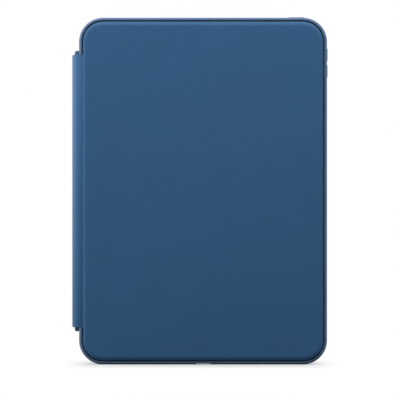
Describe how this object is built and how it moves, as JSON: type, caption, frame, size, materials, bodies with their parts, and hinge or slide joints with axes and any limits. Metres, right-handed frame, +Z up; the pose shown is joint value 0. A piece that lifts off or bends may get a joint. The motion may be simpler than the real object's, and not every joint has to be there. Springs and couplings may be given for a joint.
{
  "type": "tablet keyboard case",
  "caption": "Closed folio keyboard case for a tablet: hinged lid with keyboard and trackpad, soft spine, bumper shell with buttons, stylus flap and kickstand.",
  "frame": {"origin": "middle of the case's box, on the short bottom edge that it stands on", "axes": "+X to the right seen from the lid, +Y to the back, +Z up along the long edge"},
  "size_m": [0.1876, 0.0166, 0.2554],
  "materials": {
    "shell_rubber": "soft-touch moulded elastomer",
    "flap_rubber": "soft-touch moulded elastomer",
    "panel_plastic": "fine-grain soft-touch",
    "lining_fabric": "brushed microfibre",
    "trim_dark": "satin",
    "rail_plastic": "satin moulded",
    "magnet_nickel": "nickel plate",
    "contact_gold": "gold plate",
    "skin_blue": "fine-grain synthetic skin",
    "hinge_steel": "satin",
    "stand_painted": "soft-touch coat",
    "stiffener_aluminium": "mill",
    "deck_plastic": "fine texture",
    "membrane_film": "clear film",
    "dome_rubber": "silicone",
    "board_green": "solder mask",
    "trackpad_film": "satin",
    "key_plastic": "matte"
  },
  "bodies": {
    "shell": {"bumper_frame": "shell_rubber", "back_panel": "panel_plastic", "bay_lining": "lining_fabric", "camera_ring": "trim_dark", "hinge_rail": "rail_plastic", "rail_magnets": "magnet_nickel", "contact_pins": "contact_gold", "tablet_connector": "contact_gold", "rear_hinge_strip": "skin_blue", "stand_brackets": "hinge_steel", "bracket_screws": "hinge_steel", "stand_pins": "hinge_steel"},
    "kickstand": {"kickstand_plate": "stand_painted"},
    "side_flap": {"pencil_flap": "flap_rubber", "flap_magnets": "magnet_nickel"},
    "power_button": {"power_button": "shell_rubber"},
    "volume_up_button": {"volume_up_button": "shell_rubber"},
    "volume_down_button": {"volume_down_button": "shell_rubber"},
    "spine": {"spine_skin": "skin_blue", "spine_stiffener": "hinge_steel", "contact_pads": "contact_gold"},
    "lid": {"lid_cover": "skin_blue", "stiffener_plate": "stiffener_aluminium", "keyboard_deck": "deck_plastic", "deck_border": "shell_rubber", "switch_membrane": "membrane_film", "dome_sheet": "dome_rubber", "controller_board": "board_green", "lid_magnets": "magnet_nickel", "trackpad_switch": "trim_dark"},
    "trackpad": {"trackpad": "trackpad_film"},
    "function_keys": {"function_keys": "key_plastic"},
    "number_keys": {"number_keys": "key_plastic"},
    "top_letter_keys": {"top_letter_keys": "key_plastic"},
    "home_letter_keys": {"home_letter_keys": "key_plastic"},
    "lower_letter_keys": {"lower_letter_keys": "key_plastic"},
    "bottom_keys": {"bottom_keys": "key_plastic"},
    "space_bar": {"space_bar": "key_plastic"}
  },
  "joints": [
    {"name": "spine_fold", "type": "hinge", "parent": "shell", "child": "spine", "pos_m": [-0.09155, 0.0059, 0.12745], "axis": [0, 0, -1], "range_deg": [0, 26]},
    {"name": "lid_fold", "type": "hinge", "parent": "spine", "child": "lid", "pos_m": [-0.09155, -0.0057, 0.12745], "axis": [0, 0, -1], "range_deg": [0, 130]},
    {"name": "kickstand_swing", "type": "hinge", "parent": "shell", "child": "kickstand", "pos_m": [0.0101, 0.00745, 0.12745], "axis": [0, 0, -1], "range_deg": [0, 115]},
    {"name": "flap_swing", "type": "hinge", "parent": "shell", "child": "side_flap", "pos_m": [0.09215, 0.0054, 0.12495], "axis": [0, 0, 1], "range_deg": [0, 110]},
    {"name": "power_press", "type": "slide", "parent": "shell", "child": "power_button", "axis": [0, 0, -1], "range_m": [0, 0.0004], "stiffness_N_per_m": 2000},
    {"name": "volume_up_press", "type": "slide", "parent": "shell", "child": "volume_up_button", "axis": [-1, 0, 0], "range_m": [0, 0.0004], "stiffness_N_per_m": 2000},
    {"name": "volume_down_press", "type": "slide", "parent": "shell", "child": "volume_down_button", "axis": [-1, 0, 0], "range_m": [0, 0.0004], "stiffness_N_per_m": 2000},
    {"name": "trackpad_click", "type": "slide", "parent": "lid", "child": "trackpad", "axis": [0, -1, 0], "range_m": [0, 0.00025], "stiffness_N_per_m": 4000},
    {"name": "function_key_press", "type": "slide", "parent": "lid", "child": "function_keys", "axis": [0, -1, 0], "range_m": [0, 0.0009], "stiffness_N_per_m": 700, "deforming": ["dome_sheet"]},
    {"name": "number_key_press", "type": "slide", "parent": "lid", "child": "number_keys", "axis": [0, -1, 0], "range_m": [0, 0.0009], "stiffness_N_per_m": 700, "deforming": ["dome_sheet"]},
    {"name": "top_letter_key_press", "type": "slide", "parent": "lid", "child": "top_letter_keys", "axis": [0, -1, 0], "range_m": [0, 0.0009], "stiffness_N_per_m": 700, "deforming": ["dome_sheet"]},
    {"name": "home_letter_key_press", "type": "slide", "parent": "lid", "child": "home_letter_keys", "axis": [0, -1, 0], "range_m": [0, 0.0009], "stiffness_N_per_m": 700, "deforming": ["dome_sheet"]},
    {"name": "lower_letter_key_press", "type": "slide", "parent": "lid", "child": "lower_letter_keys", "axis": [0, -1, 0], "range_m": [0, 0.0009], "stiffness_N_per_m": 700, "deforming": ["dome_sheet"]},
    {"name": "bottom_key_press", "type": "slide", "parent": "lid", "child": "bottom_keys", "axis": [0, -1, 0], "range_m": [0, 0.0009], "stiffness_N_per_m": 700, "deforming": ["dome_sheet"]},
    {"name": "space_bar_press", "type": "slide", "parent": "lid", "child": "space_bar", "axis": [0, -1, 0], "range_m": [0, 0.0009], "stiffness_N_per_m": 700, "deforming": ["dome_sheet"]}
  ],
  "couplings": [
    {"joint": "spine_fold", "follows": "lid_fold", "ratio": 0.2}
  ]
}
